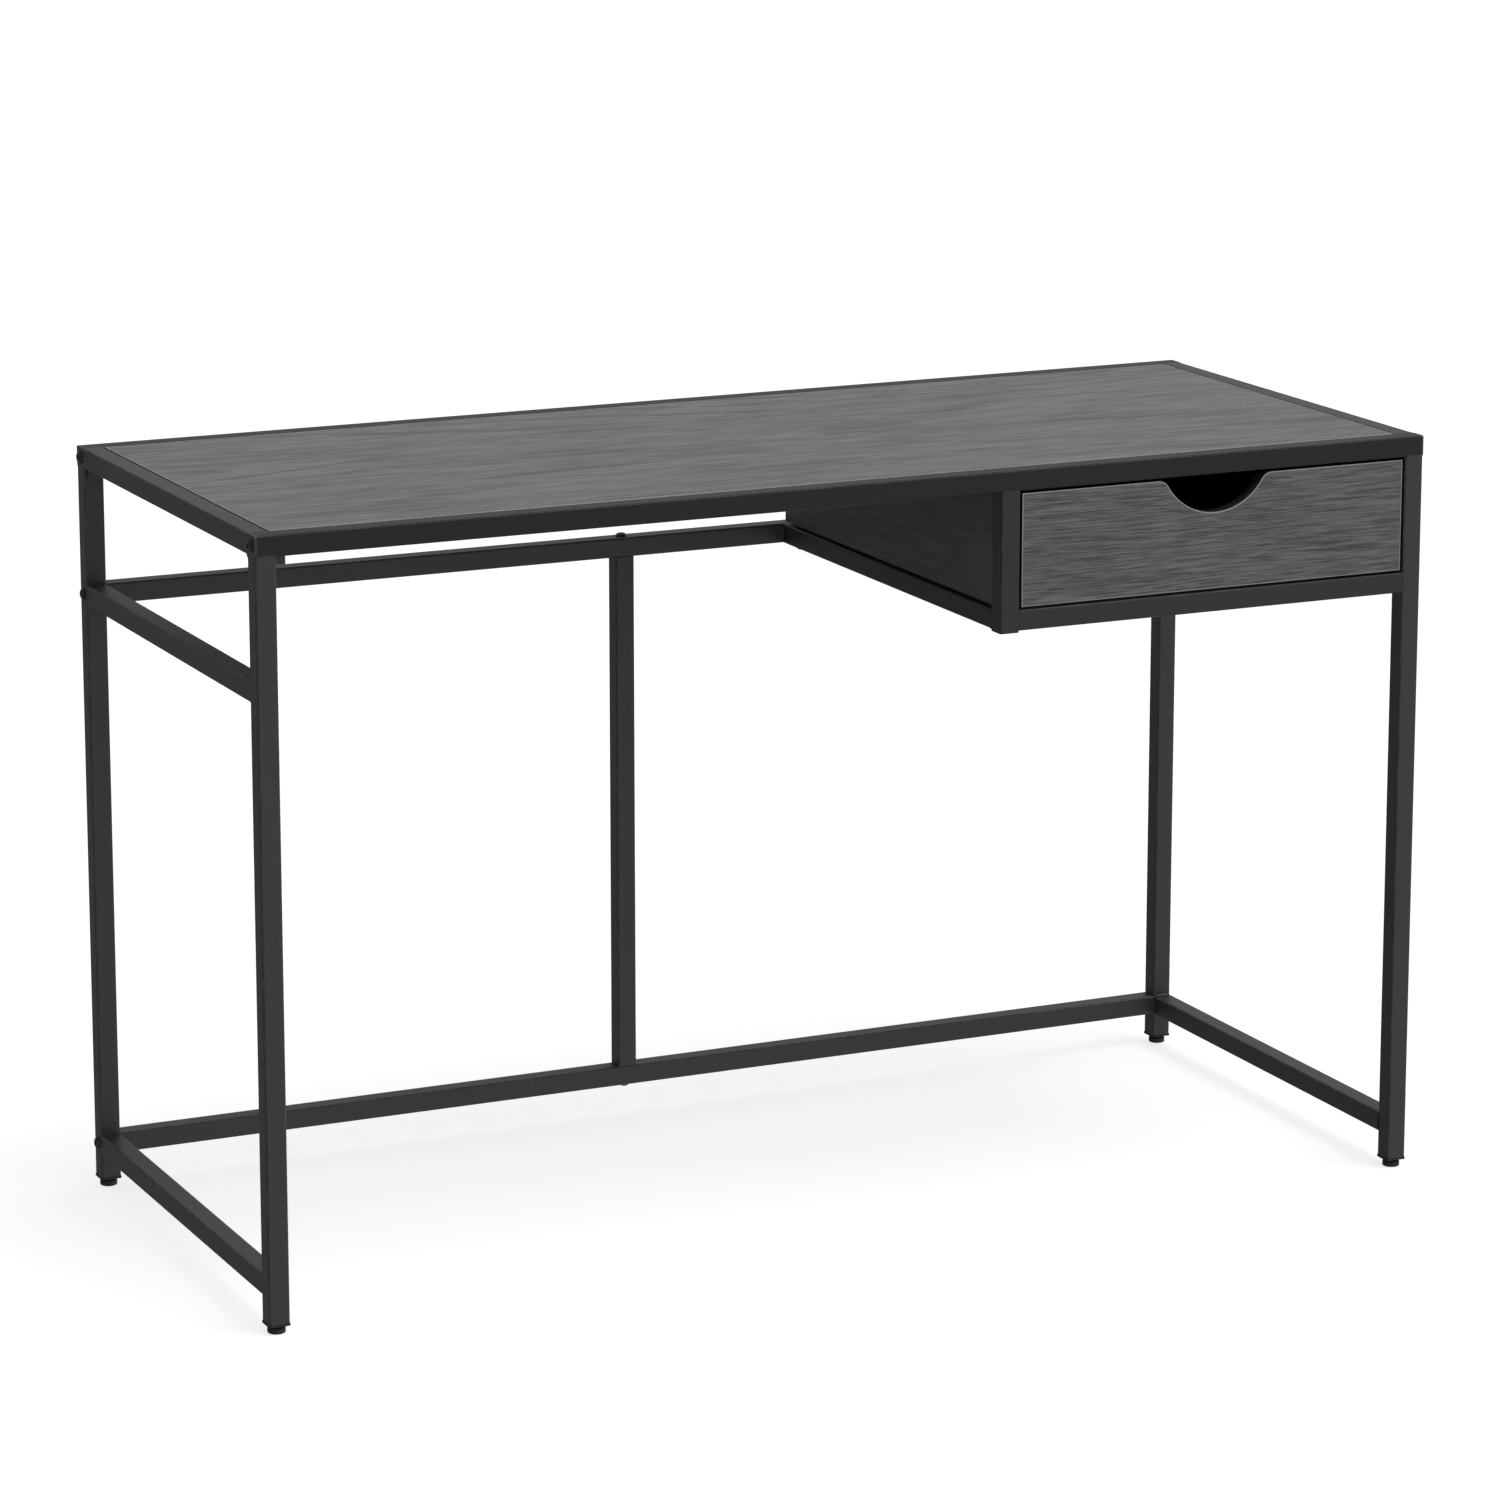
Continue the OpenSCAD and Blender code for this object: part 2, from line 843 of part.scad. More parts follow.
// Levelling foot: a disc with an eased rim on a threaded stem
module foot(x, y) {
    r = foot_d / 2;
    color(plastic_black)
        translate([x, y, 0])
            rotate_extrude()
                polygon([
                    [0, 0], [r - 1, 0], [r, 1], [r, foot_h - 2.2], [r - 2.4, foot_h],
                    [stem_d / 2, foot_h], [stem_d / 2, stem_top - 1],
                    [stem_d / 2 - 1, stem_top], [0, stem_top]
                ]);
}

module foot_front_left() {
    foot(-leg_x, -leg_y);
}

module foot_front_right() {
    foot(leg_x, -leg_y);
}

module foot_rear_left() {
    foot(-leg_x, leg_y);
}

module foot_rear_right() {
    foot(leg_x, leg_y);
}

left_front_leg();
left_rear_leg();
right_front_leg();
right_rear_leg();
left_top_rail();
left_mid_rail();
left_bottom_rail();
right_top_rail();
right_mid_rail();
right_bottom_rail();
front_top_rail();
rear_top_rail();
rear_mid_rail();
rear_bottom_rail();
rear_centre_leg();
bay_front_post();
bay_front_rail();
bay_left_rail();
rail_corner_tabs();
rail_end_plates();
corner_gussets();
front_corner_tab();
desktop_cleats();
leg_end_plugs();
bay_post_plug();
foot_front_left();
foot_front_right();
foot_rear_left();
foot_rear_right();
desktop_panel();
bay_left_panel();
bay_right_panel();
bay_back_panel();
left_slide_outer();
left_slide_middle();
left_slide_inner();
right_slide_outer();
right_slide_middle();
right_slide_inner();
drawer_front();
drawer_left_side();
drawer_right_side();
drawer_back();
drawer_bottom();
frame_bolts();
centre_leg_bolts();
bay_panel_bolts();
bay_panel_spacers();
desktop_screws();
slide_bay_screws();
slide_drawer_screws();
drawer_cams();
drawer_cam_bolts();
drawer_back_screws();
bay_back_screws();
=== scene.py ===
# %% [markdown]
# # A writing desk in black square tube and grey laminate
#
# This lesson dresses a finished CAD model of a desk. The steel frame, the drawer and every joint
# are already settled there and are never moved here. What Blender adds is what the eye reads as
# real: powder coat on the tube, printed wood grain under a satin laminate, eased board edges,
# weld beads, ball cages in the drawer slides and cut threads on the levelling feet.
#
# Everything is in metres, with X to the right, Y to the rear and Z up from the floor.

# %% Load the desk
import json
import math
import random

import bmesh
import bpy
from mathutils import Matrix, Vector


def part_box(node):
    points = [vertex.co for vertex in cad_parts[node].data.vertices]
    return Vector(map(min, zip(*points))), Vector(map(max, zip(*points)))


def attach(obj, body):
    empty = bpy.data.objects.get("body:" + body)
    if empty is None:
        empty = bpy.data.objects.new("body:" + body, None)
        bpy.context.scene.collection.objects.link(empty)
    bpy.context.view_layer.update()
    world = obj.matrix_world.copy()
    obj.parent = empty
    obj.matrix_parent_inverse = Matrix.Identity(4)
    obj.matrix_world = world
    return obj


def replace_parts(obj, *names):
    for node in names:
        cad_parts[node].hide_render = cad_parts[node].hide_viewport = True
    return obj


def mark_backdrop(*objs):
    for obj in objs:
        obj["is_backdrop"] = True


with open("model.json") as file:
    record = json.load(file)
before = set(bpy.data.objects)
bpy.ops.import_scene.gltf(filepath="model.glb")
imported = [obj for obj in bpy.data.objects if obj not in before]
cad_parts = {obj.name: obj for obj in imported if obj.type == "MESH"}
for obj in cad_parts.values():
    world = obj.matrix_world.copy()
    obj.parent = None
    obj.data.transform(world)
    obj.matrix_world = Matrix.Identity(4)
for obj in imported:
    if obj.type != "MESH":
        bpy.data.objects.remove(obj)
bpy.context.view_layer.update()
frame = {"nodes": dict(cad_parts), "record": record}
MM = 0.001

# %% [markdown]
# ## The camera
#
# A desk is usually pictured from a little above its top, far away and with a long lens, so that
# the legs stay almost parallel. The camera could be aimed with a constraint, but a turned matrix
# says the same in three numbers: a bearing, a dip and a focal length. A small vertical shift
# lowers the picture without tilting the camera, as a view camera's back does.

# %% Place the camera
CAMERA_BEARING = math.radians(24.92)
CAMERA_DIP = math.radians(12.157)
CAMERA_STAND = (-2.1995, -4.7263, 1.6758)

lens = bpy.data.cameras.new("desk_camera")
lens.lens = 131.74
lens.shift_y = -0.08
lens.clip_end = 200  # metres, past the far edge of the floor
camera = bpy.data.objects.new("desk_camera", lens)
bpy.context.scene.collection.objects.link(camera)
bpy.context.scene.camera = camera

aim = Matrix.Rotation(-CAMERA_BEARING, 4, "Z") @ Matrix.Rotation(math.pi / 2 - CAMERA_DIP, 4, "X")
camera.matrix_world = Matrix.Translation(CAMERA_STAND) @ aim
print("camera stands", round(camera.location.length, 2), "m from the desk")

# %% [markdown]
# ## Shader maths as plain Python
#
# A material's pattern is a sum of masks, and node editors make sums hard to read. One small
# class wraps a socket, so that `1 - mask` or `grain * 0.4` adds the Math nodes for us.

# %% A wire
class Wire:
    """A socket that carries one number. Arithmetic on it adds Math nodes."""

    def __init__(self, bench, socket):
        self.bench = bench
        self.socket = socket

    def math(self, operation, *numbers):
        return self.bench.node("ShaderNodeMath", {"operation": operation}, dict(enumerate(numbers)))

    def __add__(self, other):
        return self.math("ADD", self, other)

    def __radd__(self, other):
        return self.math("ADD", other, self)

    def __sub__(self, other):
        return self.math("SUBTRACT", self, other)

    def __rsub__(self, other):
        return self.math("SUBTRACT", other, self)

    def __mul__(self, other):
        return self.math("MULTIPLY", self, other)

    def __rmul__(self, other):
        return self.math("MULTIPLY", other, self)


print("a wire takes", len([name for name in vars(Wire) if name.startswith("__r")]), "reflected operators")

# %% [markdown]
# A second class holds one node tree. Its `node` method makes every other node: first the
# settings, which decide what sockets exist, and then the values or links of those sockets. The
# short methods under it name the few nodes that every finish needs.

# %% A node bench
class Bench:
    """One node tree. Every node on it is made by node(), settings before sockets."""

    def __init__(self, tree):
        self.nodes = tree.nodes
        self.links = tree.links

    def fill(self, node, sockets):
        for name, value in sockets.items():
            if isinstance(value, Wire):
                self.links.new(value.socket, node.inputs[name])
            else:
                node.inputs[name].default_value = value

    def node(self, kind, settings, sockets, out=0):
        node = self.nodes.new(kind)
        for name, value in settings.items():
            setattr(node, name, value)
        self.fill(node, sockets)
        return Wire(self, node.outputs[out])

    def stretched(self, vector, stretch):
        """The same place with each axis scaled, so that a pattern runs long along one of them."""
        return self.node("ShaderNodeVectorMath", {"operation": "MULTIPLY"}, {0: vector, 1: stretch})

    def noise(self, vector, scale, detail=2.0, roughness=0.5):
        sockets = {"Vector": vector, "Scale": scale, "Detail": detail, "Roughness": roughness}
        return self.node("ShaderNodeTexNoise", {}, sockets)

    def fade(self, value, low, high):
        """0 below low, 1 above high, and a smooth step between them."""
        settings = {"interpolation_type": "SMOOTHSTEP"}
        return self.node("ShaderNodeMapRange", settings, {0: value, 1: low, 2: high})

    def blend(self, share, first, second):
        """Goes from the first colour to the second as share goes from 0 to 1."""
        return self.node("ShaderNodeMix", {"data_type": "RGBA"}, {0: share, 6: first, 7: second}, out=2)

    def place(self):
        """Where a point lies in the desk's own metres, before anything moves."""
        return self.node("ShaderNodeTexCoord", {}, {}, out=3)


print("node bench ready")

# %% [markdown]
# ## Start a finish
#
# Each finish starts from the Principled shader. What is the same all over the surface, such as
# the strength of its reflections, is set on the shader's own sockets. Only colour, roughness
# and the bumps that bend the light change from point to point.

# %% Helpers that start and close a finish
def grey(level, warm=0.0):
    """A near-neutral colour; warm tips it from blue towards yellow."""
    return (level * (1 + warm), level, level * (1 - 2 * warm), 1)


class Finish(Bench):
    """A material in the making: a bench with the Principled shader already on it."""

    def __init__(self, name, **fixed):
        self.material = bpy.data.materials.new(name)
        self.material.use_nodes = True
        super().__init__(self.material.node_tree)
        self.shader = self.nodes["Principled BSDF"]
        self.fill(self.shader, {key.replace("_", " "): value for key, value in fixed.items()})

    def close(self, colour, roughness, height, depth):
        """Colour, roughness and a height of 0 to 1 that stands for depth metres of relief."""
        sockets = {"Height": height, "Distance": depth, "Strength": 1.0}
        bump = self.node("ShaderNodeBump", {}, sockets)
        self.fill(self.shader, {"Base Color": colour, "Roughness": roughness, "Normal": bump})
        print("finish", self.material.name, "uses", len(self.nodes), "nodes")
        return self.material

    def corner(self):
        """1 on a rounded corner and 0 on a flat face of anything square to the axes."""
        facing = self.node("ShaderNodeNewGeometry", {}, {}, out=1)
        absolute = self.node("ShaderNodeVectorMath", {"operation": "ABSOLUTE"}, {0: facing})
        sides = [self.node("ShaderNodeSeparateXYZ", {}, {0: absolute}, out=axis) for axis in range(3)]
        flattest = self.node("ShaderNodeMath", {"operation": "MAXIMUM"}, {0: sides[0], 1: sides[1]})
        flattest = self.node("ShaderNodeMath", {"operation": "MAXIMUM"}, {0: flattest, 1: sides[2]})
        return 1 - self.fade(flattest, 0.8, 0.985)


print("a mid grey is", grey(0.5))

# %% [markdown]
# ## Powder coat
#
# Powder coat is plastic dust baked onto steel. It pulls thin on sharp corners, lies in a fine
# orange peel on flat faces, and catches lint. A flat black would look like paper, so the peel
# goes into the bump, cloudy patches go into the roughness, and the rounded corners of the tube
# turn a little paler where hands and boxes rub them. The recipe takes a tone and a gloss: the
# bay's tubes get a darker tone than the legs, and the two long top rails a darker one again,
# which is painted shade that makes them read darker than the legs under the same light.

# %% Powder coat for the tube
def powder_coat(name, tone, gloss):
    coat = Finish(name, IOR=1.5, Specular_IOR_Level=gloss)
    place = coat.place()
    peel = coat.noise(place, 620, detail=3, roughness=0.55)
    clouds = coat.noise(place, 9, detail=3)
    lint = coat.fade(coat.noise(coat.stretched(place, (260, 260, 410)), 1, detail=1), 0.73, 0.80)
    rub = coat.corner() * coat.fade(coat.noise(place, 55, detail=4, roughness=0.65), 0.42, 0.66)
    colour = coat.blend(clouds, grey(0.80 * tone, 0.005), grey(1.16 * tone, 0.005))
    colour = coat.blend(rub * 0.5, colour, grey(3.2 * tone, 0.01))
    colour = coat.blend(lint * 0.5, colour, grey(0.10))
    roughness = 0.44 + 0.12 * clouds - 0.08 * rub
    return coat.close(colour, roughness, peel, 0.10 * MM)


black_coat = powder_coat("powder_coat", 0.029, 0.52)
bay_coat = powder_coat("powder_coat_bay", 0.022, 0.42)
# Painted shade: this darker copy of the coat makes the top rails read darker than the legs.
painted_shade_coat = powder_coat("powder_coat_painted_shade", 0.011, 0.32)

# %% [markdown]
# ## Laminate with printed grain
#
# The boards are chipboard under a printed paper. Two things make the print: fine streaks, as
# short as a finger and a few millimetres apart, and the figure, the long wavy lines where the
# saw met the growth rings. A wood texture node gives ruled bands, so the figure is made the way
# a map is: a slow noise is the hill, and a sine of its height draws the contour lines. The
# streaks are a noise stretched along the grain. Both are bent by a slower noise first, and the
# print is pressed in by a few hundredths of a millimetre, as an embossed plate leaves it.

# %% Laminate recipe
CONTOURS = 110


def laminate(name, pale, dark, run, fine_scale=300, broad_share=0.3, figure=0.3, clouds=0.2):
    """Grain runs along the axis whose stretch in run is smallest; the shares weigh the patterns."""
    board = Finish(name, IOR=1.5, Specular_IOR_Level=0.35)
    place = board.place()
    sway = board.noise(board.stretched(place, [side ** 0.5 for side in run]), 12, detail=2)
    bend = {0: sway, 1: (0.016, 0.016, 0.016), 2: place}
    bent = board.node("ShaderNodeVectorMath", {"operation": "MULTIPLY_ADD"}, bend)
    grain = board.stretched(bent, run)
    streaks = board.noise(grain, fine_scale, detail=5, roughness=0.72)
    broad = board.noise(grain, fine_scale * 0.3, detail=3, roughness=0.6)
    hill = board.noise(board.stretched(bent, [side ** 0.75 for side in run]), 5, detail=1)
    contours = board.node("ShaderNodeMath", {"operation": "SINE"}, {0: hill * CONTOURS})
    lines = board.fade(contours, 0.3, 1.0) * board.fade(broad, 0.44, 0.60)
    patches = board.noise(board.stretched(place, [side ** 0.4 for side in run]), 14, detail=3)
    tone = streaks + broad_share * broad + clouds * patches - figure * 0.5 * lines
    middle = 0.5 * (1 + broad_share + clouds) - 0.04 * figure
    lit = board.fade(tone, middle - 0.17, middle + 0.17)
    specks = board.noise(board.stretched(grain, (1.4, 1.4, 1.4)), fine_scale, detail=1)
    pores = board.fade(specks, 0.66, 0.74)
    colour = board.blend(lit, grey(dark, 0.006), grey(pale, 0.010))
    colour = board.blend(pores * 0.30, colour, grey(dark * 0.6))
    roughness = 0.44 + 0.12 * (1 - lit) + 0.06 * patches
    return board.close(colour, roughness, 0.7 * streaks + 0.3 * broad - 0.4 * pores, 0.05 * MM)


# %% [markdown]
# The recipe is used four times. The desktop is soft, with the widest streaks and the most
# figure. The drawer front is crisp and fine. The bay and the drawer's box are nearly black, with
# the grain running front to rear.

# %% The desk's four laminates
top_laminate = laminate("desktop_laminate", 0.184, 0.110, (0.06, 1, 1), figure=0.4)
front_laminate = laminate(
    "front_laminate", 0.180, 0.054, (0.035, 1, 1), fine_scale=640, broad_share=0.1, figure=0.1, clouds=0.1
)
bay_laminate = laminate("bay_board", 0.084, 0.064, (1, 0.05, 1), figure=0.1)
box_laminate = laminate("box_board", 0.075, 0.048, (1, 0.05, 1), figure=0.1)

# %% [markdown]
# ## Edge band and backing
#
# A board's raw edge is closed with a plastic strip about a millimetre thick, near black.
# Where the trimmer rounds it the paler plastic shows, and that burnished line is what
# the eye picks up round a drawer front. The underside carries a plain dark backing paper that
# keeps the board from warping.

# %% Trimmed rim, dark band and backing paper
def edge_band(name, pale, dark):
    band = Finish(name, IOR=1.5, Specular_IOR_Level=0.4)
    place = band.place()
    chatter = band.noise(band.stretched(place, (90, 90, 90)), 10, detail=2)
    streaks = band.noise(band.stretched(place, (0.06, 0.06, 1)), 420, detail=2)
    colour = band.blend(streaks, grey(dark, 0.01), grey(pale, 0.01))
    return band.close(colour, 0.36 + 0.16 * chatter, chatter, 0.02 * MM)


def backing_paper():
    paper = Finish("backing_paper", IOR=1.45, Specular_IOR_Level=0.25)
    place = paper.place()
    fibres = paper.noise(paper.stretched(place, (0.3, 1, 1)), 700, detail=3, roughness=0.7)
    stains = paper.noise(place, 7, detail=3)
    colour = paper.blend(0.6 * fibres + 0.4 * stains, grey(0.030, 0.01), grey(0.055, 0.01))
    return paper.close(colour, 0.62 + 0.15 * fibres, fibres, 0.03 * MM)


trimmed_rim = edge_band("trimmed_rim", 0.34, 0.26)
dark_band = edge_band("dark_band", 0.030, 0.020)
back_paper = backing_paper()

# %% [markdown]
# ## Zinc, black oxide and moulded plastic
#
# The slides and screws are zinc plated: metal whose crystals show as a faint mottle, drawn out
# along the slide by rolling. The bolts are blackened steel, which stays metallic and wears to
# grey on its edges. The feet and plugs are injection moulded, with the fine spark texture of
# the mould on every face.

# %% Metals and plastic
def zinc_plate():
    zinc = Finish("zinc_steel")
    place = zinc.place()
    mottle = zinc.noise(place, 150, detail=4, roughness=0.6)
    rolled = zinc.noise(zinc.stretched(place, (1, 0.02, 1)), 900, detail=2)
    passivated = zinc.noise(place, 14, detail=2)
    colour = zinc.blend(mottle, (0.42, 0.44, 0.46, 1), (0.62, 0.63, 0.63, 1))
    colour = zinc.blend(0.25 * passivated, colour, (0.55, 0.52, 0.40, 1))
    zinc.fill(zinc.shader, {"Metallic": 1.0})
    return zinc.close(colour, 0.26 + 0.20 * mottle, 0.5 * rolled + 0.5 * mottle, 0.02 * MM)


def black_oxide():
    oxide = Finish("black_bolts")
    place = oxide.place()
    grain = oxide.noise(place, 900, detail=2)
    smear = oxide.noise(place, 120, detail=3)
    worn = oxide.corner() * oxide.fade(smear, 0.45, 0.6)
    colour = oxide.blend(worn * 0.35, grey(0.030), grey(0.16))
    oxide.fill(oxide.shader, {"Metallic": 0.65})
    return oxide.close(colour, 0.34 + 0.16 * smear, grain, 0.03 * MM)


def moulded_plastic():
    plastic = Finish("black_plastic", IOR=1.48, Specular_IOR_Level=0.4)
    place = plastic.place()
    spark = plastic.noise(place, 1500, detail=2, roughness=0.7)
    flow = plastic.noise(place, 60, detail=2)
    colour = plastic.blend(flow, grey(0.012), grey(0.022))
    return plastic.close(colour, 0.52 + 0.12 * flow, spark, 0.05 * MM)


bright_zinc = zinc_plate()
oxide_black = black_oxide()
foot_plastic = moulded_plastic()

# %% [markdown]
# ## Dress the CAD parts
#
# The packed record says which material slot each CAD part takes. A dictionary from slot to
# finish dresses them all, so no part is forgotten and a later part dresses itself. The tubes with
# a darker coat are then named one by one; on the two long top rails that coat is painted shade.

# %% Give every CAD part its finish
FINISHES = {
    "powder_coat": black_coat,
    "grey_wood": top_laminate,
    "bay_board": bay_laminate,
    "box_board": box_laminate,
    "zinc_steel": bright_zinc,
    "black_bolts": oxide_black,
    "black_plastic": foot_plastic,
}

for part in frame["record"]["subparts"]:
    for slot in frame["nodes"][part["node"]].material_slots:
        slot.material = FINISHES[part["material_slot"]]

# %% Tubes with a darker coat, with painted shade on the two top rails
# The two long top rails take the painted shade coat, and the bay's tubes the darker bay coat.
DARKER_COATS = {
    "front_top_rail": painted_shade_coat, "rear_top_rail": painted_shade_coat,
    "bay_front_post": bay_coat, "bay_front_rail": bay_coat, "bay_left_rail": bay_coat,
}
for tube, coat in DARKER_COATS.items():
    for slot in frame["nodes"][tube].material_slots:
        slot.material = coat
print("coated", len(DARKER_COATS), "tubes again")

# %% [markdown]
# ## Skins and pieces
#
# Almost everything here is one section carried along a path: a board's outline carried up its
# thickness, a weld bead along its seam, a thread up its stem. `skin` joins rings of points into
# quads, and `add_piece` turns the result into an object that rides on a body of the desk.
# Shading is smooth, and an angle decides which edges stay crisp.

# %% Make rings into a skin, and a skin into a piece
def skin(bm, rings, side=0, start=None, end=None):
    """Joins closed rings of equal length.

    side is the material number of the wall, or a list with a number for each step;
    start and end are the caps' numbers.
    """
    rows = [[bm.verts.new(point) for point in ring] for ring in rings]
    count = len(rows[0])
    numbers = side if isinstance(side, list) else [side] * (len(rows) - 1)
    for number, near, far in zip(numbers, rows, rows[1:]):
        for i in range(count):
            j = (i + 1) % count
            bm.faces.new((near[i], near[j], far[j], far[i])).material_index = number
    bm.faces.new(reversed(rows[0])).material_index = numbers[0] if start is None else start
    bm.faces.new(rows[-1]).material_index = numbers[-1] if end is None else end


def add_piece(name, bm, finishes, body, crisp=35):
    bmesh.ops.recalc_face_normals(bm, faces=bm.faces)
    mesh = bpy.data.meshes.new(name)
    bm.to_mesh(mesh)
    bm.free()
    for finish in finishes:
        mesh.materials.append(finish)
    mesh.shade_smooth()
    mesh.set_sharp_from_angle(angle=math.radians(crisp))
    piece = bpy.data.objects.new(name, mesh)
    bpy.context.scene.collection.objects.link(piece)
    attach(piece, body)
    print("piece", name, "has", len(mesh.polygons), "faces")
    return piece


# %% [markdown]
# ## Boards with eased edges
#
# A real board is never a sharp box: the band is trimmed with a small radius, and a hairline
# joint shows where it meets the face. The outline is drawn again at each step of that radius,
# a little further in, so one profile serves a plain board and a board with a cut-out alike.

# %% The profile of a banded edge, and a plain outline
EASE = 0.6 * MM
BAND = 1.2 * MM
JOINT = 0.08 * MM
CORNER_RADIUS = 1.0 * MM

# A banded board's materials: its face, the trimmed rim, the back and the wall of the band.
FACE, RIM, BACK, WALL = range(4)
BAND_STEPS = [WALL] * 5 + [RIM] * 4 + [WALL] * 2 + [FACE]


def banded_profile(thickness):
    """(inset, height) steps up the side of a board, from its back to its face."""
    turns = [math.radians(angle) for angle in (0, 30, 60, 90)]
    back = [(EASE * (1 - math.sin(turn)), EASE * (1 - math.cos(turn))) for turn in turns]
    face = [(inset, thickness - height) for inset, height in reversed(back)]
    joint = [(BAND - JOINT, thickness), (BAND, thickness - JOINT), (BAND + JOINT, thickness)]
    return [(BAND + JOINT, 0)] + back + face + joint + [(BAND + 4 * JOINT, thickness)]


def plain_outline(low, high, inset):
    """A rectangle with corners rounded by an arc that shrinks with the inset."""
    radius = max(CORNER_RADIUS - inset, 0.02 * MM)
    points = []
    for quarter, (x, y) in enumerate([(1, 1), (-1, 1), (-1, -1), (1, -1)]):
        centre_x = (high[0] - inset - radius) if x > 0 else (low[0] + inset + radius)
        centre_y = (high[1] - inset - radius) if y > 0 else (low[1] + inset + radius)
        for step in range(4):
            turn = math.radians(90 * quarter + 30 * step)
            points.append((centre_x + radius * math.cos(turn), centre_y + radius * math.sin(turn)))
    return points


def add_board(name, outline, thickness, to_desk, finishes, body):
    """outline(inset) gives points in the board's plane; to_desk puts (u, v, height) in the desk."""
    bm = bmesh.new()
    profile = banded_profile(thickness)
    rings = [[to_desk(u, v, height) for u, v in outline(inset)] for inset, height in profile]
    skin(bm, rings, side=BAND_STEPS, start=BACK, end=FACE)
    return add_piece(name, bm, finishes, body)


print("a banded edge has", len(BAND_STEPS), "steps")

# %% [markdown]
# ## The desktop
#
# The top is a board let into the steel frame, flush with it, with a gap of about a millimetre
# all round that reads as a thin dark line. It stands for the CAD board, which stays hidden for
# the collision model. Its face is laminate, its sides are band and its underside is backing.

# %% Desktop board
def desktop_board():
    low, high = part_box("desktop_panel")
    board = add_board(
        "desktop_board",
        lambda inset: plain_outline(low, high, inset),
        high.z - low.z,
        lambda u, v, height: Vector((u, v, low.z + height)),
        [top_laminate, trimmed_rim, back_paper, dark_band],
        "frame",
    )
    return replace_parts(board, "desktop_panel")


desktop_board()

# %% [markdown]
# ## The drawer front and its finger cut-out
#
# Instead of a handle the front has a scoop in its top edge: one large arc that eases into the
# edge through two small ones. A boolean cut would leave a ragged rim, so the outline itself
# follows the arcs. Moving in by an inset makes the large arc wider and the small ones tighter,
# and because both keep their centres they stay tangent all the way.

# %% Drawer front
SCOOP_RADIUS = 60 * MM
SCOOP_DEPTH = 34.5 * MM
SCOOP_EASE = 12 * MM
SCOOP_STEPS = 40
EASE_STEPS = 8


def scoop_outline(low, high, inset):
    """Outline in X and Z, anticlockwise from the lower left corner."""
    middle = (low.x + high.x) / 2
    rise = SCOOP_RADIUS - SCOOP_DEPTH
    ease_x = math.sqrt((SCOOP_RADIUS + SCOOP_EASE) ** 2 - (rise + SCOOP_EASE) ** 2)
    lean = math.atan2(ease_x, rise + SCOOP_EASE)
    left, right = low.x + inset, high.x - inset
    bottom, top = low.z + inset, high.z - inset
    small, large = SCOOP_EASE - inset, SCOOP_RADIUS + inset

    def eased(side, turn):
        """A point of the small arc on that side, turned from straight up towards the scoop."""
        across = middle + side * (ease_x - small * math.sin(turn))
        return (across, high.z - SCOOP_EASE + small * math.cos(turn))

    points = [(left, bottom), (right, bottom), (right, top)]
    points += [eased(1, lean * step / EASE_STEPS) for step in range(EASE_STEPS + 1)]
    for step in range(1, SCOOP_STEPS):
        turn = lean * (1 - 2 * step / SCOOP_STEPS)
        points.append((middle + large * math.sin(turn), high.z + rise - large * math.cos(turn)))
    points += [eased(-1, lean * (1 - step / EASE_STEPS)) for step in range(EASE_STEPS + 1)]
    return points + [(left, top)]


def drawer_front_board():
    low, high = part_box("drawer_front")
    board = add_board(
        "drawer_front_board",
        lambda inset: scoop_outline(low, high, inset),
        high.y - low.y,
        lambda u, v, height: Vector((u, high.y - height, v)),
        [front_laminate, trimmed_rim, box_laminate, dark_band],
        "drawer",
    )
    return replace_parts(board, "drawer_front")


drawer_front_board()

# %% [markdown]
# ## Side panels of the drawer bay
#
# The bay is closed at the left and right by two dark boards that stand on spacers just clear of
# the steel. They are banded like the top, so the same board maker serves, turned on its side.

# %% Bay side panels
def bay_side_board(side, outwards):
    low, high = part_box(f"bay_{side}_panel")
    start = high.x if outwards < 0 else low.x
    board = add_board(
        f"bay_{side}_board",
        lambda inset: plain_outline((low.y, low.z), (high.y, high.z), inset),
        high.x - low.x,
        lambda u, v, height: Vector((start + outwards * height, u, v)),
        [bay_laminate, bay_laminate, bay_laminate, dark_band],
        "frame",
    )
    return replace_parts(board, f"bay_{side}_panel")


bay_side_board("left", -1)
bay_side_board("right", 1)

# %% [markdown]
# ## Weld beads
#
# The side frames and the bay are welded, the long cross rails are bolted. Faces that show are
# ground flush and the beads stay in the inner corners. A bead is a small fillet laid in drops,
# so its size swells and shrinks along the seam; a sine of the distance gives the drops, and a
# seeded random number keeps two beads from being twins.

# %% A bead along a seam
BEAD_SIZE = 1.5 * MM
BEAD_DROP = 2.1 * MM
STEPS_A_DROP = 6
CORNER = 2 * MM
BEAD_MARGIN = CORNER + 0.6 * MM
BEAD_SECTION = [(-0.3, -0.3), (1.0, -0.2), (0.82, 0.28), (0.52, 0.52), (0.28, 0.82), (-0.2, 1.0)]
hand = random.Random(20)


def bead(bm, start, end, side_a, side_b):
    """A rippled fillet in the corner between two faces that leave the seam along side_a and side_b."""
    length = (end - start).length
    steps = round(length / BEAD_DROP * STEPS_A_DROP)
    phase = hand.random()
    rings = []
    for step in range(steps + 1):
        along = step / steps
        drop = abs(math.sin(math.pi * (along * length / BEAD_DROP + phase)))
        taper = min(1, 0.3 + 7 * along, 0.3 + 7 * (1 - along))
        size = BEAD_SIZE * taper * (0.80 + 0.20 * drop + 0.10 * hand.random())
        middle = start.lerp(end, along)
        rings.append([middle + side_a * (size * a) + side_b * (size * b) for a, b in BEAD_SECTION])
    skin(bm, rings)


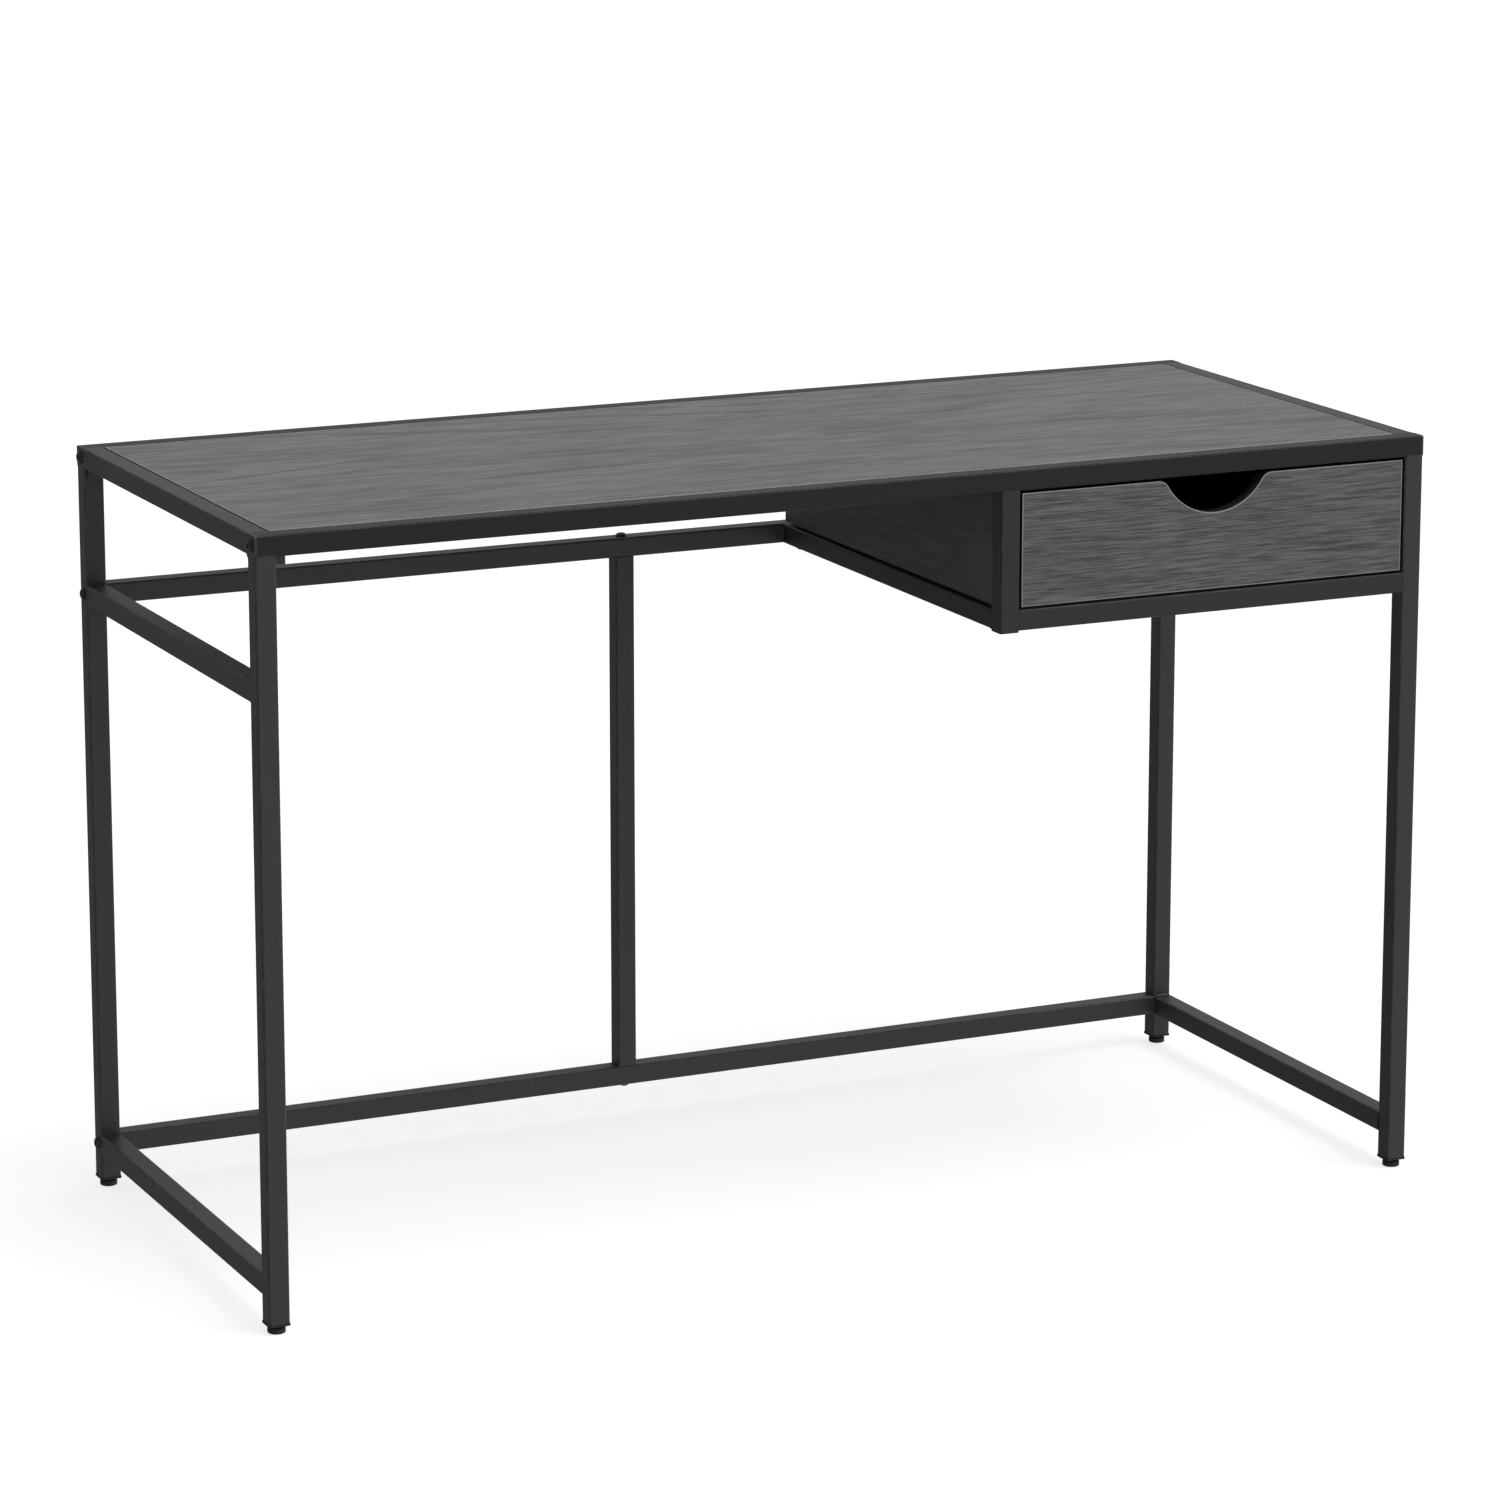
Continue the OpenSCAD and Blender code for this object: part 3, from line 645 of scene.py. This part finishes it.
def weld_end(bm, tube, along, sides):
    """Beads round the end of a tube that points along `along`, on the sides listed."""
    low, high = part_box(tube)
    middle, half = (low + high) / 2, (high - low) / 2
    reach = abs(half.dot(along))
    for side in sides:
        seam = along.cross(side)
        width = abs(half.dot(seam)) - BEAD_MARGIN
        corner = middle + along * reach + side * abs(half.dot(side))
        bead(bm, corner - seam * width, corner + seam * width, side, -along)


print("a 20 mm seam takes", round(20 * MM / BEAD_DROP), "drops of weld")

# %% [markdown]
# Each side rail meets a leg at both ends, so a loop over the rails and their ends lays most of
# the beads. The bay's few welds are listed one by one, because each has its own open corners.

# %% Lay the beads
LEFT, RIGHT = Vector((-1, 0, 0)), Vector((1, 0, 0))
FRONT, REAR = Vector((0, -1, 0)), Vector((0, 1, 0))
UP, DOWN = Vector((0, 0, 1)), Vector((0, 0, -1))


def weld_beads():
    bm = bmesh.new()
    for end in (FRONT, REAR):
        weld_end(bm, "left_top_rail", end, [RIGHT])
        for rail in ("left_mid_rail", "left_bottom_rail"):
            weld_end(bm, rail, end, [RIGHT, UP, DOWN])
        weld_end(bm, "right_bottom_rail", end, [LEFT, UP, DOWN])
        weld_end(bm, "right_mid_rail", end, [LEFT, DOWN])
    for side, inner in (("left", RIGHT), ("right", LEFT)):
        weld_end(bm, f"{side}_front_leg", UP, [inner])
        weld_end(bm, f"{side}_rear_leg", UP, [inner])
    weld_end(bm, "bay_front_post", UP, [LEFT])
    weld_end(bm, "bay_left_rail", REAR, [LEFT, RIGHT])
    weld_end(bm, "bay_front_rail", RIGHT, [DOWN])
    return add_piece("weld_beads", bm, [black_coat], "frame", crisp=60)


weld_beads()

# %% [markdown]
# ## Ground welds
#
# Where two tubes meet flush, one tube's rounded corner leaves a groove beside the other's end.
# The welder fills it and grinds it level, so only a faint line stays under the coat. The fill is
# a strip laid in that groove, a few hundredths of a millimetre below the faces beside it. A list
# says which tube ends are flush and on which faces.

# %% Fill the flush joints
FILL_HALF = 0.9 * MM
FILL_SECTION = [(-1, -1.5), (1, -1.5), (1, -0.10), (0.3, -0.05), (-0.3, -0.05), (-1, -0.10)]
FILL_STEPS = 8


def ground_fill(bm, tube, along, side, coat=0):
    """Fills the groove just past the end of a tube that points along `along`, on the face `side`."""
    low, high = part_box(tube)
    middle, half = (low + high) / 2, (high - low) / 2
    seam = along.cross(side)
    width = abs(half.dot(seam)) - CORNER + 0.3 * MM
    centre = middle + along * (abs(half.dot(along)) + FILL_HALF) + side * abs(half.dot(side))
    rings = []
    for step in range(FILL_STEPS + 1):
        place = centre + seam * (width * (2 * step / FILL_STEPS - 1))
        level = 0.04 * MM * hand.random()
        rings.append([place + along * (FILL_HALF * a) + side * (MM * b - level) for a, b in FILL_SECTION])
    skin(bm, rings, side=coat)


def ground_welds():
    bm = bmesh.new()
    for row, out in (("front", FRONT), ("rear", REAR)):
        for side in ("left", "right"):
            ground_fill(bm, f"{side}_{row}_leg", UP, out)
    for side, out in (("left", LEFT), ("right", RIGHT)):
        for end in (FRONT, REAR):
            ground_fill(bm, f"{side}_top_rail", end, UP)
            ground_fill(bm, f"{side}_mid_rail", end, out)
            ground_fill(bm, f"{side}_bottom_rail", end, out)
    for tube, along, out in (
        ("bay_front_post", UP, FRONT), ("bay_front_rail", LEFT, FRONT),
        ("bay_front_rail", RIGHT, FRONT), ("bay_left_rail", FRONT, LEFT),
    ):
        ground_fill(bm, tube, along, out, coat=1)
    return add_piece("ground_welds", bm, [black_coat, bay_coat], "frame")


ground_welds()

# %% [markdown]
# ## Telescopic slides
#
# Each slide has three members. The middle one is a channel of bent sheet that runs on two rows
# of balls at the top and two at the bottom, kept apart by a cage. It moves half as far as the
# drawer. The channel is a bent section carried along Y, and a loop drops the balls in place.

# %% A ball, a cage and a bent channel
SHEET = 1.2 * MM


def ball(bm, centre, radius):
    around = [math.tau * column / 10 for column in range(10)]
    rings = []
    for row in range(1, 6):
        turn = math.pi * row / 6
        out, along = radius * math.sin(turn), radius * math.cos(turn)
        rings.append([centre + Vector((out * math.cos(a), along, out * math.sin(a))) for a in around])
    skin(bm, rings)


def carried(bm, section, start_y, end_y, to_desk):
    """A closed section in X and Z carried along Y."""
    skin(bm, [[to_desk(x, y, z) for x, z in section] for y in (start_y, end_y)])


def bent_channel(web_x, lip_x, half_height, bend):
    """A channel with its web at web_x and lips reaching to lip_x, bent with a small radius."""
    turns = [math.radians(angle) for angle in (180, 150, 120, 90)]
    outer = [(web_x + bend + bend * math.cos(t), half_height - bend + bend * math.sin(t)) for t in turns]
    inner_bend = bend - SHEET * 0.7
    inner_x, inner_z = web_x + SHEET + inner_bend, half_height - SHEET - inner_bend
    inner = [
        (inner_x + inner_bend * math.cos(t), inner_z + inner_bend * math.sin(t)) for t in reversed(turns)
    ]
    upper = outer + [(lip_x, half_height), (lip_x, half_height - SHEET)] + inner
    return upper + [(x, -z) for x, z in reversed(upper)]


print("the slide's sheet is", SHEET, "m thick")

# %% [markdown]
# The slide stands between the bay's wall and the drawer's side, so its section is given from
# the wall: x grows towards the drawer. The right slide is the left one mirrored. A row of balls
# is a tuple: how far its middle lies outside the flange, the balls' radius, how far it lies from
# the web, and how much shorter than the member its cage is at the front and at the rear.

# %% Middle members with their ball cages
BALL_ROWS = [
    (1.15 * MM, 1.05 * MM, 3.4 * MM, 40 * MM, 60 * MM),
    (-SHEET - 1.85 * MM, 1.7 * MM, 5.4 * MM, 110 * MM, 15 * MM),
]
CAGE_HALF = 1.9 * MM    # half a cage's width
CAGE_SHARE = 0.42       # half a cage's thickness, as a share of its balls' radius
BALL_SPACING = 6        # from one ball to the next, in radii
CAGE_ROOM = 2 * MM      # between the channel's flange and the top of the CAD member
BEND = 1.6 * MM


def slide_middle_member(side, wall_x, inwards):
    low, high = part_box(f"{side}_slide_middle")
    middle_z = (low.z + high.z) / 2
    web = min(abs(low.x - wall_x), abs(high.x - wall_x))
    lip = max(abs(low.x - wall_x), abs(high.x - wall_x))
    half_height = (high.z - low.z) / 2 - CAGE_ROOM

    def to_desk(x, y, z):
        return Vector((wall_x + inwards * x, y, middle_z + z))

    bm = bmesh.new()
    carried(bm, bent_channel(web, lip, half_height, BEND), low.y, high.y, to_desk)
    for flip in (1, -1):
        for outside, radius, from_web, front_gap, rear_gap in BALL_ROWS:
            row, x = flip * (half_height + outside), web + from_web
            first, last = low.y + front_gap, high.y - rear_gap
            left, right, half = x - CAGE_HALF, x + CAGE_HALF, CAGE_SHARE * radius
            cage = [(left, row - half), (right, row - half), (right, row + half), (left, row + half)]
            carried(bm, cage, first, last, to_desk)
            count = int((last - first) / (BALL_SPACING * radius))
            for step in range(count):
                ball(bm, to_desk(x, first + (step + 0.5) * (last - first) / count, row), radius)
    name, body = f"{side}_slide_channel", f"{side}_slide"
    member = add_piece(name, bm, [bright_zinc], body, crisp=40)
    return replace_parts(member, f"{side}_slide_middle")


slide_middle_member("left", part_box("left_slide_outer")[0].x, 1)
slide_middle_member("right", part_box("right_slide_outer")[1].x, -1)

# %% [markdown]
# ## Levelling feet
#
# A foot is a moulded disc on a threaded stem. Turning it raises the leg, and the thread shows
# in the gap. A thread could be a curve swept along a helix, but it is simpler as a lathe whose
# radius depends on both height and angle: one turn round, one pitch up. The disc's rim has
# shallow flutes for the fingers, made with a cosine of the same angle.

# %% Feet with a cut thread
PITCH = 1.25 * MM
THREAD_DEPTH = 0.55 * MM
FLUTES = 18
STEPS_A_PITCH = 6
DISC_HEIGHT = 7 * MM
STEM_RADIUS = 4 * MM
TUCK = 0.5 * MM         # how far the stem starts inside the disc, and how long its end's taper is
DISC_COLUMNS = 90
STEM_COLUMNS = 24


def turned(bm, profile, centre, columns, side=0):
    """A lathe: profile(turn) gives (radius, height) pairs for that angle."""
    spokes = []
    for column in range(columns):
        turn = math.tau * column / columns
        out = Vector((math.cos(turn), math.sin(turn), 0))
        spokes.append([centre + out * radius + UP * height for radius, height in profile(turn)])
    skin(bm, list(zip(*spokes)), side=side)


def stem_profile(turn, radius, low, high):
    """A V thread: the groove's depth follows height less the turn's share of a pitch."""
    steps = round((high - low) / PITCH * STEPS_A_PITCH)
    rows = [(radius - THREAD_DEPTH, low)]
    for step in range(steps + 1):
        height = low + (high - low) * step / steps
        share = (height / PITCH - turn / math.tau) % 1
        rows.append((radius - THREAD_DEPTH * abs(2 * share - 1), height))
    return rows + [(radius - 2 * THREAD_DEPTH, high + TUCK)]


def disc_profile(turn, radius, height):
    """A low disc with an eased foot, a fluted rim and a sloping shoulder."""
    flute = 0.22 * MM * (1 - math.cos(FLUTES * turn)) / 2
    shoulder = height - 2.2 * MM
    return [
        (radius - 1.6 * MM, 0), (radius - 0.9 * MM, 0.1 * MM), (radius - 0.3 * MM, 0.5 * MM),
        (radius - 0.05 * MM, 1.2 * MM), (radius - flute, 1.8 * MM), (radius - flute, shoulder - 0.6 * MM),
        (radius - 0.1 * MM, shoulder), (radius - 0.7 * MM, shoulder + 0.6 * MM),
        (radius - 2.4 * MM, height - 0.15 * MM), (radius - 2.9 * MM, height),
    ]


def levelling_foot(corner):
    node = f"foot_{corner}"
    low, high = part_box(node)
    centre = Vector(((low.x + high.x) / 2, (low.y + high.y) / 2, 0))
    radius = (high.x - low.x) / 2
    stem_low, stem_high = DISC_HEIGHT - TUCK, high.z - TUCK
    bm = bmesh.new()
    turned(bm, lambda turn: disc_profile(turn, radius, DISC_HEIGHT), centre, DISC_COLUMNS)
    turned(
        bm, lambda turn: stem_profile(turn, STEM_RADIUS, stem_low, stem_high), centre, STEM_COLUMNS, side=1
    )
    name, finishes = f"levelling_foot_{corner}", [foot_plastic, bright_zinc]
    foot = add_piece(name, bm, finishes, f"{corner}_foot")
    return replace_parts(foot, node)


for corner in ("front_left", "front_right", "rear_left", "rear_right"):
    levelling_foot(corner)

# %% [markdown]
# ## Floor and light
#
# The desk stands on a wide pale floor. The light is a studio's: a broad lamp high on the front
# right, whose size keeps its shadows soft, and a room that is brighter at the right and front
# than at the left. The room is the world itself, a gradient by direction, so every view and
# every pose is lit alike. The floor glows a little of its own, like a lit table, which keeps
# the shadows under the desk light.

# %% Floor
FLOOR_HALF = 40


def studio_floor():
    bm = bmesh.new()
    for x, y in ((-1, -1), (1, -1), (1, 1), (-1, 1)):
        bm.verts.new((x * FLOOR_HALF, y * FLOOR_HALF, 0))
    bm.faces.new(bm.verts)
    mesh = bpy.data.meshes.new("studio_floor")
    bm.to_mesh(mesh)
    bm.free()
    pale = Finish("floor_paint", Specular_IOR_Level=0.0, Roughness=0.9, Emission_Strength=0.74)
    pale.fill(pale.shader, {"Base Color": grey(0.42), "Emission Color": grey(1.0)})
    mesh.materials.append(pale.material)
    floor = bpy.data.objects.new("studio_floor", mesh)
    bpy.context.scene.collection.objects.link(floor)
    floor.visible_diffuse = False
    floor.visible_glossy = False
    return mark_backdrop(floor)


studio_floor()
print("floor is", 2 * FLOOR_HALF, "m wide")

# %% [markdown]
# A sun lamp stands for the broad lamp, because its angle alone sets how soft its shadows are. The
# room leans on a dot product: a direction that points the same way as `ROOM_LEAN` is brighter,
# and the opposite one darker, with no edge between them.

# %% Lamp and room
ROOM_LEAN = (0.30, -0.12, 0.10)
ROOM_LEVEL = 0.50
LAMP_ANGLE = math.radians(26)
TO_LAMP = Vector((0.22, -0.30, 1))


def studio_light():
    lamp = bpy.data.lights.new("broad_lamp", "SUN")
    lamp.energy = 1.0
    lamp.angle = LAMP_ANGLE
    stand = bpy.data.objects.new("broad_lamp", lamp)
    stand.rotation_euler = TO_LAMP.to_track_quat("Z", "Y").to_euler()
    bpy.context.scene.collection.objects.link(stand)

    world = bpy.data.worlds.new("studio_room")
    world.use_nodes = True
    bpy.context.scene.world = world
    room = Bench(world.node_tree)
    direction = room.node("ShaderNodeTexCoord", {}, {}, out=0)
    facing = {0: direction, 1: ROOM_LEAN}
    lean = room.node("ShaderNodeVectorMath", {"operation": "DOT_PRODUCT"}, facing, out=1)
    room.fill(room.nodes["Background"], {"Color": (1, 1, 1, 1), "Strength": ROOM_LEVEL + lean})


studio_light()
bpy.context.scene.view_settings.view_transform = "Standard"
print("lit")

# %% [markdown]
